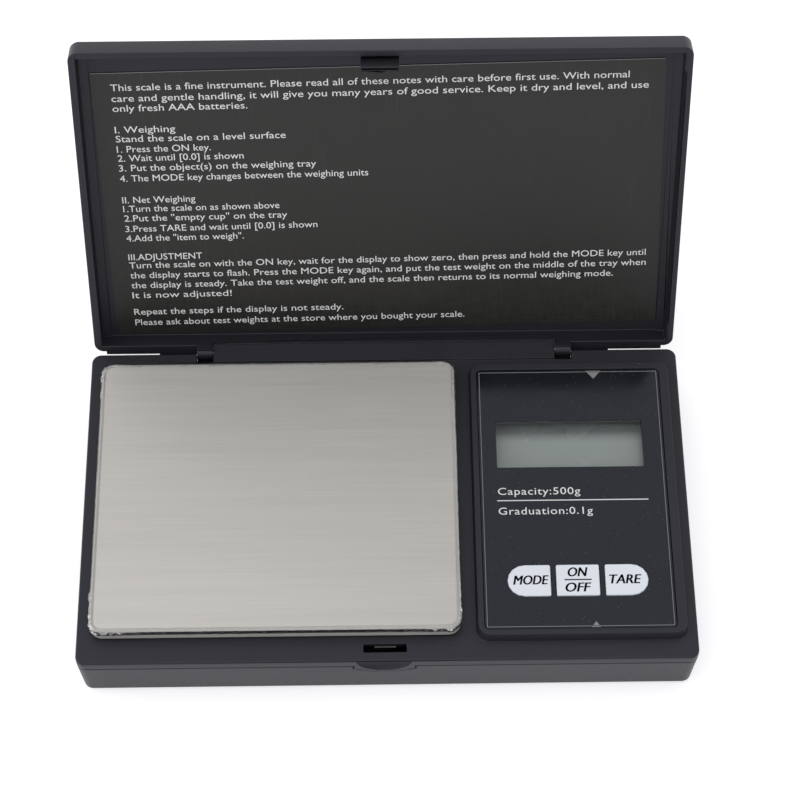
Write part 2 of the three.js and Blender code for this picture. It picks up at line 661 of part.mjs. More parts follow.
function platformCarrier() {
  const plate = slab(
    roundedRect(TRAY_LENGTH - 4, TRAY_DEPTH - 4, 2, TRAY_X, TRAY_Y),
    CARRIER_BOTTOM,
    CARRIER_TOP,
  );
  const stem = slab(
    roundedRect(STEM.length, STEM.depth, 1, STEM.x, STEM.y),
    LOAD_TOP + TOUCH,
    CARRIER_BOTTOM + 0.5,
  );
  const tools = [];
  for (const y of CARRIER_SCREW_Y) {
    tools.push(rodZ(1.4, STEM.x, y, 0, TRAY_TOP, 12));
    tools.push(rodZ(2.35, STEM.x, y, CARRIER_TOP - 1.05, TRAY_TOP, 20));
  }
  return cut(join(plate, stem), ...tools);
}

function platformTray() {
  const outline = roundedRect(TRAY_LENGTH, TRAY_DEPTH, TRAY_CORNER, TRAY_X, TRAY_Y);
  const low = TRAY_TOP - TRAY_SKIRT;
  const pan = crownedSlab(outline, low, TRAY_TOP, 0.5);
  const inside = roundedRect(
    TRAY_LENGTH - 2 * TRAY_SHEET,
    TRAY_DEPTH - 2 * TRAY_SHEET,
    TRAY_CORNER - TRAY_SHEET,
    TRAY_X,
    TRAY_Y,
  );
  return cut(pan, slab(inside, 0, TRAY_TOP - TRAY_SHEET));
}

// ---------------------------------------------------------------- batteries
const SPRING_TURNS = 3;
const SPRING_WIRE = 0.25;
const CONTACT_FACE = BAY_INSIDE - CONTACT_GAP - CONTACT_SHEET;
// A cell's positive tip touches its contact plate, which leaves the spring its room at the other end.
const CELL_SHIFT = CONTACT_FACE - TOUCH - CELL_NUB - CELL_LENGTH / 2;
const CELL_FLAT_END = CELL_LENGTH / 2 - CELL_SHIFT;

function batteryCell(x, towardsRear) {
  const way = towardsRear ? 1 : -1;
  const middle = way * CELL_SHIFT;
  const end = middle + way * (CELL_LENGTH / 2);
  const can = rodY(CELL_RADIUS, middle - CELL_LENGTH / 2, middle + CELL_LENGTH / 2, x, CELL_Z, 20);
  const tip = [end - way * 0.1, end + way * CELL_NUB].sort((a, b) => a - b);
  return join(can, rodY(1.9, tip[0], tip[1], x, CELL_Z, 10));
}

function contactPlate(x0, x1, side) {
  const wallFace = side * (BAY_INSIDE - CONTACT_GAP);
  const inner = side * CONTACT_FACE;
  const [y0, y1] = [wallFace, inner].sort((a, b) => a - b);
  return block(x0, x1, y0, y1, CELL_Z - 3.6, CELL_Z + 3.6);
}

class ConicalSpring extends THREE.Curve {
  constructor(x, startY, endY) {
    super();
    this.x = x;
    this.startY = startY;
    this.endY = endY;
  }

  getPoint(t, target = new THREE.Vector3()) {
    const turn = 2 * Math.PI * SPRING_TURNS * t;
    const radius = THREE.MathUtils.lerp(3.2, 1.6, t);
    const y = THREE.MathUtils.lerp(this.startY, this.endY, t);
    return target.set(this.x + radius * Math.cos(turn), y, CELL_Z + radius * Math.sin(turn));
  }
}

// The spring stands on the contact plate at one end of the bay and presses on a cell's flat end.
function contactSpring(x, side) {
  const startY = side * (CONTACT_FACE - SPRING_WIRE - 0.1);
  const endY = side * (CELL_FLAT_END + SPRING_WIRE + 0.1);
  return wire(new ConicalSpring(x, startY, endY), SPRING_WIRE, SPRING_TURNS * 10, 2);
}

function batteryDoor() {
  const left = -BASE_LENGTH / 2 + DRAFT;
  const half = BAY_INSIDE - DOOR_GAP;
  const panel = block(left, DOOR_END_X - DOOR_GAP, -half, half, FOOT_STAND, FLOOR_Z - 0.05);
  const tongue = half + DOOR_TONGUE - 0.1;
  const rails = block(left, DOOR_END_X - DOOR_GAP, -tongue, tongue, RAIL_LOW, RAIL_HIGH);
  const grips = [0, 1, 2, 3].map((row) => {
    const x = left + 4 + row * 1.6;
    return block(x, x + 0.8, -7, 7, 0, FOOT_STAND + 0.35);
  });
  return cut(join(panel, rails), ...grips);
}

// ---------------------------------------------------------------- wires inside the base
function route(points) {
  const places = points.map(([x, y, z]) => new THREE.Vector3(x, y, z));
  return new THREE.CatmullRomCurve3(places, false, 'centripetal');
}

const LOAD_WIRE_ROUTE = route([
  [LOAD_X + 4.9, LOAD_Y, LOAD_TOP + 0.7],
  [LOAD_X + 9, LOAD_Y - 1, LOAD_TOP - 0.5],
  [-6, -3, 4.5],
  [8, -5, 4.2],
  [17, -6, 5.8],
  [19.3, -6, 7],
]);
const RED_WIRE_ROUTE = route([
  [-34.6, 27.5, 9.5],
  [-28, 29.5, 8],
  [0, 30.5, 5],
  [14, 22, 4.6],
  [18, 8, 5.6],
  [19.3, 4, 7],
]);
const BLACK_WIRE_ROUTE = route([
  [-34.6, -27.5, 9.5],
  [-28, -29, 8],
  [0, -30, 5],
  [13, -24, 4.6],
  [18, -14, 5.6],
  [19.3, -11, 7],
]);

// ---------------------------------------------------------------- lid, drawn closed, about the hinge axis
const LID_RIM = DECK_Z + LID_GAP;
const LID_OUTSIDE = LID_RIM + LID_HEIGHT;
const LID_CEILING = LID_OUTSIDE - LID_TOP;
const BEZEL_CLEARANCE = 0.35; // round the display's bezel, which the lid's end wall is hollowed for
const HOOK = { x0: -4.1, x1: 3.65, y0: -34.75, y1: -33.75, tip: DECK_Z - 2.6 };
const HOOK_HOLLOW = { skin: 0.3, depth: 1.2 }; // the pocket in the hook's tip
const BARB = { x: -0.15, halfWidth: 0.9, reach: 0.35, height: 0.8 };
const ARM_TOE = { low: 0.83, high: 0.5, back: 1.95 }; // the arm's square toe, from the hinge axis
// The rear wall's skirt, on each side of the hinge. It hangs just behind the base's rear face.
const SKIRT = { outer: 60.5, back: 0.45, height: 1.6, thickness: 0.8 };
const SKIRT_ROOT = { outer: 49, back: 0.85 }; // its thicker part, next to the arm
const LABEL = { length: 117.5, depth: 65.4, x: 0, y: 1.4, sheet: 0.12, turn: 1.1 };
// The ceiling is sunk between two strips along its ends, which slope up to the end walls.
const STRIP = { inner: 59.5, edge: 0.25, rise: 0.35 };

function lidShell() {
  const outline = roundedRect(LID_LENGTH, BASE_DEPTH, CORNER);
  const inner = roundedRect(
    LID_LENGTH - 2 * LID_SIDE_WALL,
    BASE_DEPTH - 2 * LID_END_WALL,
    CORNER - LID_SIDE_WALL,
  );
  const tray = cut(crownedSlab(outline, LID_RIM, LID_OUTSIDE, 0.9), slab(inner, 0, LID_CEILING));
  const room = BARREL_HALF_LENGTH + BARREL_GAP;
  const relief = rodX(BARREL_RADIUS + BARREL_GAP, -room, room, HINGE_Y, HINGE_Z, 32);
  const shell = cut(tray, relief, bezelBlock(BEZEL_CLEARANCE));
  const shank = block(HOOK.x0, HOOK.x1, HOOK.y0, HOOK.y1, HOOK.tip, LID_CEILING + 0.2);
  const { skin, depth } = HOOK_HOLLOW;
  const pocket = block(
    HOOK.x0 + skin,
    HOOK.x1 - skin,
    HOOK.y0 + skin,
    HOOK.y1 - skin,
    HOOK.tip - 1,
    HOOK.tip + depth,
  );
  const barb = block(
    BARB.x - BARB.halfWidth,
    BARB.x + BARB.halfWidth,
    HOOK.y1 - 0.1,
    HOOK.y1 + BARB.reach,
    HOOK.tip,
    HOOK.tip + BARB.height,
  );
  const arms = [-1, 1].map(lidArm);
  const skirts = [-1, 1].map(rearSkirt);
  const strips = [-1, 1].map(ceilingStrip);
  return join(shell, cut(shank, pocket), barb, ...strips, ...skirts, ...arms);
}

// An arm from the lid's rear wall down to the hinge pin.
function lidArm(side) {
  const x0 = side * ARM_X - ARM_WIDTH / 2;
  const x1 = side * ARM_X + ARM_WIDTH / 2;
  const wall = BASE_DEPTH / 2 - LID_END_WALL;
  const eye = rodX(ARM_RADIUS, x0, x1, HINGE_Y, HINGE_Z, 24);
  const link = block(x0, x1, wall, HINGE_Y + 0.6, HINGE_Z - ARM_TOE.low, LID_OUTSIDE - 2.2);
  const toe = block(
    x0,
    x1,
    HINGE_Y,
    HINGE_Y + ARM_TOE.back,
    HINGE_Z - ARM_TOE.low,
    HINGE_Z + ARM_TOE.high,
  );
  const pinHole = rodX(PIN_RADIUS + RUNNING_GAP, x0 - 1, x1 + 1, HINGE_Y, HINGE_Z, 16);
  return cut(join(eye, link, toe), pinHole);
}

function rearSkirt(side) {
  const inner = ARM_X + ARM_WIDTH / 2 - ROOT;
  const parts = [SKIRT, SKIRT_ROOT].map(({ outer, back }) => {
    const [x0, x1] = [side * inner, side * outer].sort((a, b) => a - b);
    const y1 = HINGE_Y + back;
    return block(x0, x1, y1 - SKIRT.thickness, y1, LID_RIM, LID_RIM + SKIRT.height);
  });
  return join(...parts);
}

function ceilingStrip(side) {
  const outer = LID_LENGTH / 2 - LID_SIDE_WALL + ROOT;
  const shape = new THREE.Shape();
  shape.moveTo(side * STRIP.inner, LID_CEILING + ROOT);
  shape.lineTo(side * STRIP.inner, LID_CEILING - STRIP.edge);
  shape.lineTo(side * outer, LID_CEILING - STRIP.edge - STRIP.rise);
  shape.lineTo(side * outer, LID_CEILING + ROOT);
  const half = BASE_DEPTH / 2 - LID_END_WALL + ROOT;
  return slab(shape, -half, half).rotateX(Math.PI / 2);
}

// The label is stuck in slightly crooked.
function lidLabel() {
  const { length, depth, x, y, sheet, turn } = LABEL;
  const top = LID_CEILING - 0.05;
  const plate = block(-length / 2, length / 2, -depth / 2, depth / 2, top - sheet, top);
  return plate.rotateZ(-THREE.MathUtils.degToRad(turn)).translate(x, y, 0);
}

function hingePin(side) {
  const inner = side * (ARM_X - 4.2);
  const outer = side * (ARM_X + ARM_WIDTH / 2);
  const [x0, x1] = [inner, outer].sort((a, b) => a - b);
  return rodX(PIN_RADIUS, x0, x1, HINGE_Y, HINGE_Z, 16);
}

// ---------------------------------------------------------------- the whole scale
const scale = new THREE.Group();

scale.add(piece('bottom_housing', bottomHousing(), BLACK_CASE));
scale.add(piece('top_cover', topCover(), BLACK_CASE));
scale.add(piece('display_panel', displayPanel(), PANEL_BLACK));
scale.add(piece('lcd_window', lcdWindow(), CLEAR));
scale.add(piece('lcd_frame', lcdFrame(), BLACK_CASE));
scale.add(piece('lcd_glass', lcdGlass(), LCD_GREY));
scale.add(piece('backlight_diffuser', backlightDiffuser(), MILKY));
scale.add(piece('zebra_strip_front', zebraStrip(-1), RUBBER));
scale.add(piece('zebra_strip_rear', zebraStrip(1), RUBBER));
scale.add(piece('circuit_board', circuitBoard(), BOARD_GREEN));
scale.add(piece('controller_chip', controllerChip(), CHIP_BLACK));
scale.add(piece('crystal', crystal(), NICKEL));
scale.add(piece('capacitor', capacitor(), CHIP_BLACK));

BOARD_SCREW_POSITIONS.forEach(([x, y], index) => {
  scale.add(piece(`board_screw_${index + 1}`, screw(x, y, BOARD_BOTTOM - TOUCH, BOARD_SCREW), STEEL));
});

for (const key of KEYS) {
  scale.add(piece(`${key.name}_key`, keyCap(key), KEY_WHITE));
  scale.add(piece(`${key.name}_switch`, switchBody(key), CHIP_BLACK));
  scale.add(piece(`${key.name}_switch_plunger`, switchPlunger(key), MILKY));
}

scale.add(piece('load_cell', loadCell(), ALUMINIUM));
scale.add(piece('gauge_coating', gaugeCoating(), MILKY));
LOAD_SCREW_Y.forEach((y, index) => {
  const shape = screw(LOAD_X, y, LOAD_SCREW_SEAT - TOUCH, LOAD_SCREW);
  scale.add(piece(`load_cell_screw_${index + 1}`, shape, STEEL));
});
const stopTop = LOAD_PAD_Z + TOUCH - STOP_GAP;
const stopScrew = rodZ(STOP_SCREW_RADIUS, LOAD_X, STOP_SCREW_Y, FOOT_STAND + SEAM, stopTop, 12);
scale.add(piece('overload_stop_screw', stopScrew, STEEL));
scale.add(piece('platform_carrier', platformCarrier(), BLACK_CASE));
CARRIER_SCREW_Y.forEach((y, index) => {
  scale.add(piece(`carrier_screw_${index + 1}`, carrierScrew(y), STEEL));
});
scale.add(piece('platform_tray', platformTray(), STAINLESS));

scale.add(piece('battery_cell_left', batteryCell(CELL_X[0], true), CELL_JACKET));
scale.add(piece('battery_cell_right', batteryCell(CELL_X[1], false), CELL_JACKET));
scale.add(piece('bridge_contact', contactPlate(CELL_X[0] - 4, CELL_X[1] + 4, -1), NICKEL));
scale.add(piece('positive_contact', contactPlate(CELL_X[0] - 4, CELL_X[0] + 4, 1), NICKEL));
scale.add(piece('negative_contact', contactPlate(CELL_X[1] - 4, CELL_X[1] + 4, 1), NICKEL));
scale.add(piece('bridge_spring', contactSpring(CELL_X[0], -1), NICKEL));
scale.add(piece('negative_spring', contactSpring(CELL_X[1], 1), NICKEL));
scale.add(piece('battery_door', batteryDoor(), BLACK_CASE));

SCREW_POSITIONS.forEach(([x, y], index) => {
  const shape = screw(x, y, HOUSING_SCREW_SEAT - TOUCH, HOUSING_SCREW);
  scale.add(piece(`housing_screw_${index + 1}`, shape, STEEL));
});
FOOT_POSITIONS.forEach(([x, y], index) => {
  const pad = rodZ(FOOT_RADIUS, x, y, 0, FOOT_STAND + FOOT_POCKET - TOUCH, 16);
  scale.add(piece(`rubber_foot_${index + 1}`, pad, RUBBER));
});

scale.add(piece('load_cell_wires', wire(LOAD_WIRE_ROUTE, 0.55, 24, 2), CELL_JACKET));
scale.add(piece('battery_wire_red', wire(RED_WIRE_ROUTE, 0.5, 40, 2), RED_WIRE));
scale.add(piece('battery_wire_black', wire(BLACK_WIRE_ROUTE, 0.5, 40, 2), BLACK_WIRE));

scale.add(piece('hinge_pin_left', hingePin(-1), STEEL));
scale.add(piece('hinge_pin_right', hingePin(1), STEEL));

// The lid turns about the hinge axis: an outer group holds the axis, and the pieces inside it are drawn
// closed and moved so that the axis passes through their origin.
const lidHinge = new THREE.Group();
lidHinge.position.set(0, HINGE_Y, HINGE_Z);
lidHinge.rotation.x = -OPEN_ANGLE;
lidHinge.add(piece('lid_shell', lidShell(), BLACK_CASE));
lidHinge.add(piece('lid_label', lidLabel(), LABEL_BLACK));
for (const lidPiece of lidHinge.children) {
  lidPiece.position.set(0, -HINGE_Y, -HINGE_Z);
}
scale.add(lidHinge);

// The origin goes under the middle of the open scale's box.
scale.updateMatrixWorld(true);
const bounds = new THREE.Box3().setFromObject(scale, true);
scale.position.set(-(bounds.min.x + bounds.max.x) / 2, -(bounds.min.y + bounds.max.y) / 2, -bounds.min.z);

export default scale;
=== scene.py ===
# The looks of the digital gram scale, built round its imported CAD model.
import json
import math

import bmesh
import bpy
from mathutils import Matrix, Vector, noise


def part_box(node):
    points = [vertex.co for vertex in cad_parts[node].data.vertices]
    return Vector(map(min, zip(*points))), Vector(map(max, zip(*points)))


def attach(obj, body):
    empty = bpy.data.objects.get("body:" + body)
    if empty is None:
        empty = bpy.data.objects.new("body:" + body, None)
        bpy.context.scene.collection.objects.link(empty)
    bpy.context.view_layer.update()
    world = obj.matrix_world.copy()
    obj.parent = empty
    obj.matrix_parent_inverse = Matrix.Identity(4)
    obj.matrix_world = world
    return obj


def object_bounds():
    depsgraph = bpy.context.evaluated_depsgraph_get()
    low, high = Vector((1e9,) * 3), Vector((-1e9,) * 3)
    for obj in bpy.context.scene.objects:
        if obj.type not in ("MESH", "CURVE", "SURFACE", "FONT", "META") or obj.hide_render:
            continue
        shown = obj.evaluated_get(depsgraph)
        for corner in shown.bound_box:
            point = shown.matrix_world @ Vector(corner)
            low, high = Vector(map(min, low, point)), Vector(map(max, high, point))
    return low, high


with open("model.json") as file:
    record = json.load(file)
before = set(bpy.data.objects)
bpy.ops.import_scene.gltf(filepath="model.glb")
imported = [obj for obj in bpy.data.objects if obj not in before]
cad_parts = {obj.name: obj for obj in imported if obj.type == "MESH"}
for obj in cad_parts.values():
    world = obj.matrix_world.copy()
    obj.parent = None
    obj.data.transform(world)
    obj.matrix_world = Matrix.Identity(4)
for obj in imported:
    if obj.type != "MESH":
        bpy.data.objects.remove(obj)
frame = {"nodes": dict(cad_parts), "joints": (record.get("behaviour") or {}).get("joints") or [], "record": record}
cad_low, cad_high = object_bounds()

MM = 0.001

# Camera: it looks steeply down on the open scale from the front, through a long lens.
CAMERA_AIM = (3.1, -8.36, 0.0)  # mm from the middle of the CAD box
CAMERA_DISTANCE = 511.95
CAMERA_AZIMUTH = -0.77  # degrees
CAMERA_ELEVATION = 59.22
CAMERA_ROLL = 0.02
CAMERA_LENS = 113.6

# Lights: place and size in metres, and power in watts.
LIGHT_AIM = (0, 0, 0.02)
LIGHTS = {
    "left": ((-0.9, -0.1, 0.5), (0.5, 0.7), 2.5),
    "overhead": ((-0.1, -0.2, 1.0), (0.8, 0.8), 2),
}

# The prints and the painted highlight lines lie on their surfaces as thin raised ink, in mm.
INK = 0.012
INK_LIFT = 0.006

# Label print, in mm. Each line is its middle's distance from the label's front edge, its width, and
# its words. The label is read with its front edge up.
LABEL_TURN = 1.1  # degrees that the label is turned in the closed lid
LABEL_SIZE = (117.5, 65.4)
LABEL_LEFT = 4.0
LABEL_CAP = 1.55
LABEL_HIGHLIGHT_WIDTH = 0.12  # painted highlight: a light grey line along the label's front edge, standing in for that edge's highlight
LABEL_HIGHLIGHT_GAP = 0.04
LABEL_HIGHLIGHT_INSET = 0.2
LABEL_BLOCKS = {
    "intro": [
        (
            3.5,
            106.0,
            "This scale is a fine instrument. Please read all of these "
            "notes with care before first use. With normal",
        ),
        (
            6.05,
            110.0,
            "care and gentle handling, it will give you many years of "
            "good service. Keep it dry and level, and use",
        ),
        (8.4, 27.7, "only fresh AAA batteries."),
    ],
    "weighing": [
        (13.5, 12.5, "I. Weighing"),
        (15.7, 35.2, "Stand the scale on a level surface"),
        (18.2, 19.5, "1. Press the ON key."),
        (20.4, 26.2, "2. Wait until [0.0] is shown"),
        (22.8, 41.2, "3. Put the object(s) on the weighing tray"),
        (25.35, 52.0, "4. The MODE key changes between the weighing units"),
    ],
    "net": [
        (30.7, 15.4, "II. Net Weighing"),
        (32.9, 33.0, "1.Turn the scale on as shown above"),
        (35.3, 34.5, "2.Put the \"empty cup\" on the tray"),
        (37.95, 40.8, "3.Press TARE and wait until [0.0] is shown"),
        (40.35, 25.0, "4.Add the \"item to weigh\"."),
    ],
    "adjusting": [
        (45.2, 15.8, "III.ADJUSTMENT"),
        (
            47.3,
            110.8,
            "Turn the scale on with the ON key, wait for the display to "
            "show zero, then press and hold the MODE key until",
        ),
        (
            49.9,
            110.9,
            "the display starts to flash. Press the MODE key again, and "
            "put the test weight on the middle of the tray when",
        ),
        (
            52.5,
            103.9,
            "the display is steady. Take the test weight off, and the "
            "scale then returns to its normal weighing mode.",
        ),
        (55.1, 21.5, "It is now adjusted!"),
    ],
    "closing": [
        (59.5, 45.5, "Repeat the steps if the display is not steady."),
        (62.3, 71.8, "Please ask about test weights at the store where you bought your scale."),
    ],
}


# Display print, in mm from the window's left front corner. The lines are words, baseline and width.
DISPLAY_LINES = [("Capacity:500g", -6.6, 17.3), ("Graduation:0.1g", -11.3, 19.7)]
DISPLAY_LEFT = -0.1
DISPLAY_CAP = 1.65
DISPLAY_SPACING = 1.08
DISPLAY_RULE = (-0.3, 31.4, -8.1, -7.88)  # left, right, low and high
REAR_MARK = (19.7, 23.0, 21.4, 2.0)  # left, right and tip in X, and length
FRONT_MARK = (18.0, 19.9, 19.0, 1.3)
MARK_GAP = 0.2  # from the panel's edge

# Key print, in mm from the middle of each key: words, X, baseline and width.
KEY_CAP = 2.05
KEY_WORDS = {
    "mode": [("MODE", 0.35, -1.0, 7.2)],
    "power": [("ON", 0, 0.75, 4.0), ("OFF", 0, -2.75, 5.2)],
    "tare": [("TARE", -0.35, -1.0, 6.5)],
}
KEY_BAR = (2.8, 0.15)  # half the length and half the width of the line between ON and OFF
KEY_STYLE = {"slant": 0.22, "anchor": "middle", "bold": (-0.09, -0.03, 0.03, 0.09)}

# Where the shade on the display starts and is full, in mm in front of the window's rear edge.
LCD_SHADE = (3.4, 1.0)

# Painted highlight: the light grey line near the edge of the display panel stands in for the highlight on the
# panel's edge, in mm.
PANEL_HIGHLIGHT_INSET = 0.4
PANEL_HIGHLIGHT_WIDTH = 0.12

# Painted highlight: a light grey strip deep in the latch slot stands in for the lit lower edge of the catch, in mm
# from the middle of the housing's front and from the table.
SLOT_HIGHLIGHT_X = -0.45
SLOT_HIGHLIGHT_Y = 3.78
SLOT_HIGHLIGHT_Z = 12.3
SLOT_HIGHLIGHT_SIZE = (4.5, 0.12, 0.2)

# The film over the tray's edge, in mm. Each place of its profile is an offset outward from the tray's
# side, a height above its top, and how free it is to lift.
FILM_CORNER = 2.6
FILM_STEP = 0.4
FILM_SHEET = 0.03
FILM_PROFILE = [
    (-0.75, 0.01, 0.0),
    (-0.45, 0.015, 0.6),
    (-0.15, 0.01, 0.8),
    (0.02, -0.15, 0.8),
    (0.03, -0.6, 1.0),
    (0.03, -1.1, 1.0),
    (0.02, -1.6, 0.8),
]
FILM_LIFT = 0.5
FILM_RISE = 0.4  # the share of its lift that the part on top takes
FILM_WAVES = 0.8  # crinkles in a millimetre along the edge
FILM_WAVES_DOWN = 1.3  # and down the side
FILM_RIPPLES = 2.3  # how much finer the ripples on the crinkles are
FILM_RIPPLE_SHARE = 0.7
FILM_CALM = 0.16  # how much it still lifts far from the corners
FILM_REACH = 8.0
FOLD_UP = 8.5  # a small fold sticks out of the left side, this far behind the front edge
FOLD_WIDTH = 0.9
FOLD_LIFT = 0.3


# ---------------------------------------------------------------- materials
class Finish:
    """A node material in the making: its Principled shader, and helpers that add nodes."""

    def __init__(self, name, colour, roughness, extra=None):
        self.material = bpy.data.materials.new("finish_" + name)
        self.material.use_nodes = True
        self.tree = self.material.node_tree
        self.shader = self.tree.nodes["Principled BSDF"]
        self.set(self.shader, {"Base Color": (*colour, 1), "Roughness": roughness, **(extra or {})})
        self.coordinates = self.add("ShaderNodeTexCoord").outputs["Object"]

    def set(self, node, inputs):
        for key, value in inputs.items():
            if isinstance(value, bpy.types.NodeSocket):
                self.tree.links.new(value, node.inputs[key])
            else:
                node.inputs[key].default_value = value

    def add(self, kind, inputs=None, **attributes):
        node = self.tree.nodes.new(kind)
        for key, value in attributes.items():
            setattr(node, key, value)
        self.set(node, inputs or {})
        return node

    def place(self, stretch):
        """Object coordinates in millimetres, stretched along an axis where its number is small."""
        scale = [1000 * s for s in stretch]
        mapping = self.add("ShaderNodeMapping", {"Vector": self.coordinates, "Scale": scale})
        return mapping.outputs["Vector"]

    def noise(self, size, detail=2.0, stretch=(1, 1, 1)):
        """Noise whose features are about size millimetres across."""
        inputs = {"Vector": self.place(stretch), "Scale": 1 / size, "Detail": detail}
        return self.add("ShaderNodeTexNoise", inputs).outputs["Fac"]

    def specks(self, size, share, radius):
        """1 in small spots, one in each cell of the given size that is among the share chosen, else 0."""
        cells = self.add("ShaderNodeTexVoronoi", {"Vector": self.place((1, 1, 1)), "Scale": 1 / size})
        pick = self.add("ShaderNodeSeparateColor", {"Color": cells.outputs["Color"]}).outputs[0]
        chosen = self.math("LESS_THAN", pick, share)
        spot = self.spread(cells.outputs["Distance"], radius, radius * 0.5, 0, 1)
        return self.math("MULTIPLY", chosen, spot)

    def math(self, operation, a, b):
        return self.add("ShaderNodeMath", {0: a, 1: b}, operation=operation).outputs[0]

    def spread(self, value, from_low, from_high, to_low, to_high):
        inputs = {
            "Value": value,
            "From Min": from_low,
            "From Max": from_high,
            "To Min": to_low,
            "To Max": to_high,
        }
        return self.add("ShaderNodeMapRange", inputs).outputs["Result"]

    def blend(self, factor, a, b):
        node = self.add("ShaderNodeMix", {"Factor": factor}, data_type="RGBA")
        self.set_colour(node.inputs[6], a)
        self.set_colour(node.inputs[7], b)
        return node.outputs[2]

    def set_colour(self, socket, value):
        if isinstance(value, bpy.types.NodeSocket):
            self.tree.links.new(value, socket)
        else:
            socket.default_value = (*value, 1)

    def bump(self, height, depth, strength=1.0):
        """Bump of the given depth in millimetres, from a height of 0 to 1."""
        inputs = {"Height": height, "Distance": depth * MM, "Strength": strength}
        node = self.add("ShaderNodeBump", inputs)
        self.set(self.shader, {"Normal": node.outputs["Normal"]})


def moulded(name, colour, roughness, grain=0.25, depth=0.01, shift=0.12, dust=0.0, extra=None):
    """Moulded plastic or rubber: uneven colour, a fine grain and, where asked, specks of dust."""
    finish = Finish(name, colour, roughness, extra)
    cloudy = finish.noise(9.0, 3.0)
    fine = finish.noise(grain, 3.0)
    dark = [c * (1 - shift) for c in colour]
    light = [c * (1 + shift) for c in colour]
    paint = finish.blend(cloudy, dark, light)
    if dust:
        paint = finish.blend(finish.specks(2.2, dust, 0.035), paint, (0.32, 0.32, 0.33))
    finish.set(finish.shader, {
        "Base Color": paint,
        "Roughness": finish.spread(fine, 0.3, 0.7, roughness - 0.06, roughness + 0.06),
    })
    finish.bump(fine, depth)
    return finish.material


def worked_metal(name, colour, roughness, stretch=(1, 1, 1), size=0.3, shift=0.1):
    """Bare metal with the fine lines or blotches that its making leaves."""
    finish = Finish(name, colour, roughness, {"Metallic": 1.0})
    lines = finish.noise(size, 4.0, stretch)
    dark = [c * (1 - shift) for c in colour]
    light = [c * (1 + shift) for c in colour]
    finish.set(finish.shader, {
        "Base Color": finish.blend(finish.spread(lines, 0.25, 0.75, 0, 1), dark, light),
        "Roughness": finish.spread(lines, 0.25, 0.75, roughness - 0.08, roughness + 0.08),
    })
    finish.bump(lines, 0.004)
    return finish.material


def brushed_plate():
    """The platform's stainless steel: satin, brushed along X, with broad faint bands."""
    colour = (0.43, 0.415, 0.395)
    finish = Finish("stainless", colour, 0.55, {"Metallic": 0.45, "Specular IOR Level": 0.3})
    lines = finish.noise(0.2, 2.0, (0.012, 1, 1))
    bands = finish.noise(2.6, 2.0, (0.03, 1, 1))
    fine = finish.math("MULTIPLY", lines, 0.7)
    broad = finish.math("MULTIPLY", bands, 0.3)
    both = finish.math("ADD", fine, broad)
    dark = [c * 0.92 for c in colour]
    light = [c * 1.07 for c in colour]
    finish.set(finish.shader, {
        "Base Color": finish.blend(finish.spread(both, 0.3, 0.7, 0, 1), dark, light),
        "Roughness": finish.spread(lines, 0.3, 0.7, 0.50, 0.62),
    })
    finish.bump(lines, 0.0012)
    return finish.material


def glossy_panel():
    """The display's black overlay: glossy, with tiny bright flakes under the gloss."""
    extra = {"Specular IOR Level": 0.33, "Specular Tint": (0.82, 0.88, 1.0, 1.0)}
    finish = Finish("panel", (0.006, 0.007, 0.009), 0.1, extra)
    haze = finish.noise(14.0, 2.0)
    base = finish.blend(haze, (0.006, 0.007, 0.009), (0.009, 0.010, 0.013))
    flakes = finish.specks(0.8, 0.45, 0.12)
    finish.set(finish.shader, {
        "Base Color": finish.blend(flakes, base, (0.10, 0.11, 0.13)),
        "Roughness": finish.spread(haze, 0.3, 0.7, 0.07, 0.13),
    })
    finish.bump(finish.noise(1.2, 2.0), 0.0015)
    return finish.material


def printed_label():
    """The lid's black label: satin, with the faint crossed threads of its backing and fine scratches."""
    finish = Finish("label", (0.014, 0.0135, 0.0125), 0.34, {"Specular IOR Level": 0.32})
    across = finish.noise(0.35, 2.0, (0.08, 1, 1))
    along = finish.noise(0.35, 2.0, (1, 0.08, 0.08))
    weave = finish.math("MULTIPLY", across, along)
    scratch = finish.noise(0.6, 1.0, (1, 0.03, 0.03))
    scratched = finish.spread(scratch, 0.70, 0.76, 0, 0.35)
    cloudy = finish.blend(finish.noise(22.0, 2.0), (0.012, 0.0115, 0.0105), (0.016, 0.0155, 0.0145))
    threads = finish.blend(finish.spread(weave, 0.2, 0.32, 0, 0.3), cloudy, (0.024, 0.023, 0.0215))
    finish.set(finish.shader, {
        "Base Color": finish.blend(scratched, threads, (0.032, 0.031, 0.029)),
        "Roughness": finish.spread(weave, 0.15, 0.35, 0.30, 0.42),
    })
    finish.bump(weave, 0.004)
    return finish.material


def lcd_surface():
    """The switched-off display: grey-green, and darker along its rear edge, where the panel shades it."""
    finish = Finish("lcd", (0.22, 0.25, 0.24), 0.25)
    cloudy = finish.noise(9.0, 2.0)
    place = finish.add("ShaderNodeSeparateXYZ", {0: finish.coordinates})
    window_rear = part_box("lcd_window")[1].y
    far, near = (window_rear - distance * MM for distance in LCD_SHADE)
    shade = finish.spread(place.outputs["Y"], far, near, 0.0, 0.62)
    paint = finish.blend(cloudy, (0.205, 0.236, 0.226), (0.228, 0.262, 0.252))
    finish.set(finish.shader, {
        "Base Color": finish.blend(shade, paint, (0.04, 0.045, 0.05)),
        "Roughness": finish.spread(cloudy, 0.3, 0.7, 0.22, 0.30),
    })
    return finish.material


